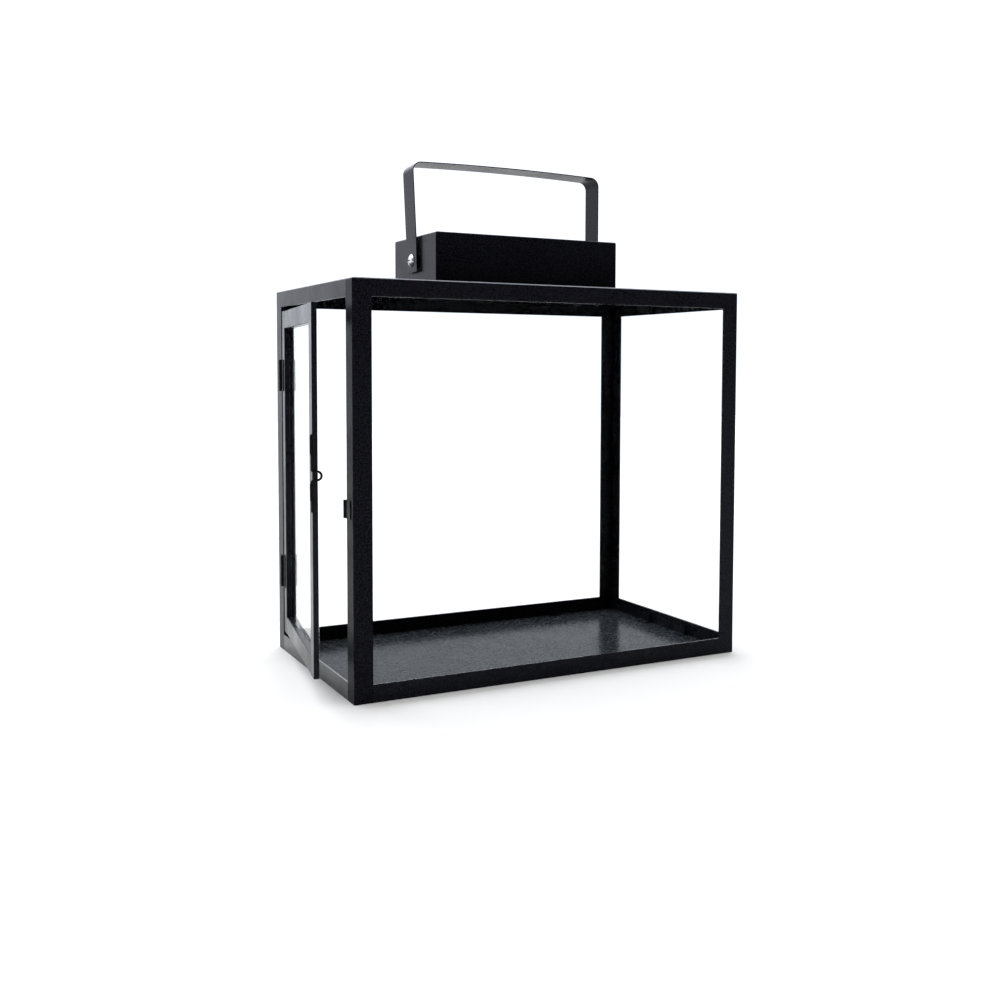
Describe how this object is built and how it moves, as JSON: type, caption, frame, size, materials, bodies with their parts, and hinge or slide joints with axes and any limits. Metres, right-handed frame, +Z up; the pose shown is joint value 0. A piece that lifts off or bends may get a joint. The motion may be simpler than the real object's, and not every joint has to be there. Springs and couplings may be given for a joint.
{
  "type": "candle lantern",
  "caption": "Rectangular black metal candle lantern with glass sides, a latched glass side door, a box chimney and a folding strap handle.",
  "frame": {"origin": "middle of the underside of the body, on the surface the lantern stands on", "axes": "+X along the long side, away from the door end; +Y from the front glass to the back glass; +Z up"},
  "size_m": [0.3813, 0.206, 0.4276],
  "materials": {
    "black_paint": "fine matt powder coat",
    "floor_paint": "satin powder coat",
    "hardware_paint": "semi-gloss black",
    "zinc_steel": "bright zinc plate",
    "pane_glass": "clear float glass"
  },
  "bodies": {
    "frame": {"floor_plate": "floor_paint", "roof_plate": "black_paint", "chimney": "black_paint", "post_front_left": "black_paint", "post_front_right": "black_paint", "post_back_left": "black_paint", "post_back_right": "black_paint", "bottom_rail_front": "black_paint", "bottom_rail_back": "black_paint", "bottom_rail_left": "black_paint", "bottom_rail_right": "black_paint", "top_rail_front": "black_paint", "top_rail_back": "black_paint", "top_rail_left": "black_paint", "top_rail_right": "black_paint", "glass_front": "pane_glass", "glass_back": "pane_glass", "glass_right": "pane_glass", "clips_front": "black_paint", "clips_back": "black_paint", "clips_right": "black_paint", "hinge_lower_post_leaf": "hardware_paint", "hinge_lower_pin": "hardware_paint", "hinge_upper_post_leaf": "hardware_paint", "hinge_upper_pin": "hardware_paint", "latch_keeper": "hardware_paint", "pivot_screws": "zinc_steel", "pivot_washers": "zinc_steel", "pivot_nuts": "zinc_steel"},
    "door": {"door_stile_hinge": "black_paint", "door_stile_free": "black_paint", "door_rail_top": "black_paint", "door_rail_bottom": "black_paint", "door_glass": "pane_glass", "clips_door": "black_paint", "hinge_lower_door_leaf": "hardware_paint", "hinge_upper_door_leaf": "hardware_paint", "latch_sleeve_upper": "hardware_paint", "latch_sleeve_lower": "hardware_paint"},
    "latch_bolt": {"latch_wire": "hardware_paint"},
    "handle": {"handle_strap": "black_paint"}
  },
  "joints": [
    {"name": "door_hinge", "type": "hinge", "parent": "frame", "child": "door", "pos_m": [-0.17825, 0.08675, 0.16], "axis": [0, 0, -1], "range_deg": [-8.4, 160]},
    {"name": "latch_slide", "type": "slide", "parent": "door", "child": "latch_bolt", "axis": [0, 0, 1], "range_m": [0, 0.0107]},
    {"name": "handle_pivot", "type": "hinge", "parent": "frame", "child": "handle", "pos_m": [0, 0, 0.3436], "axis": [-1, 0, 0], "range_deg": [-99.6, 94.4]}
  ]
}
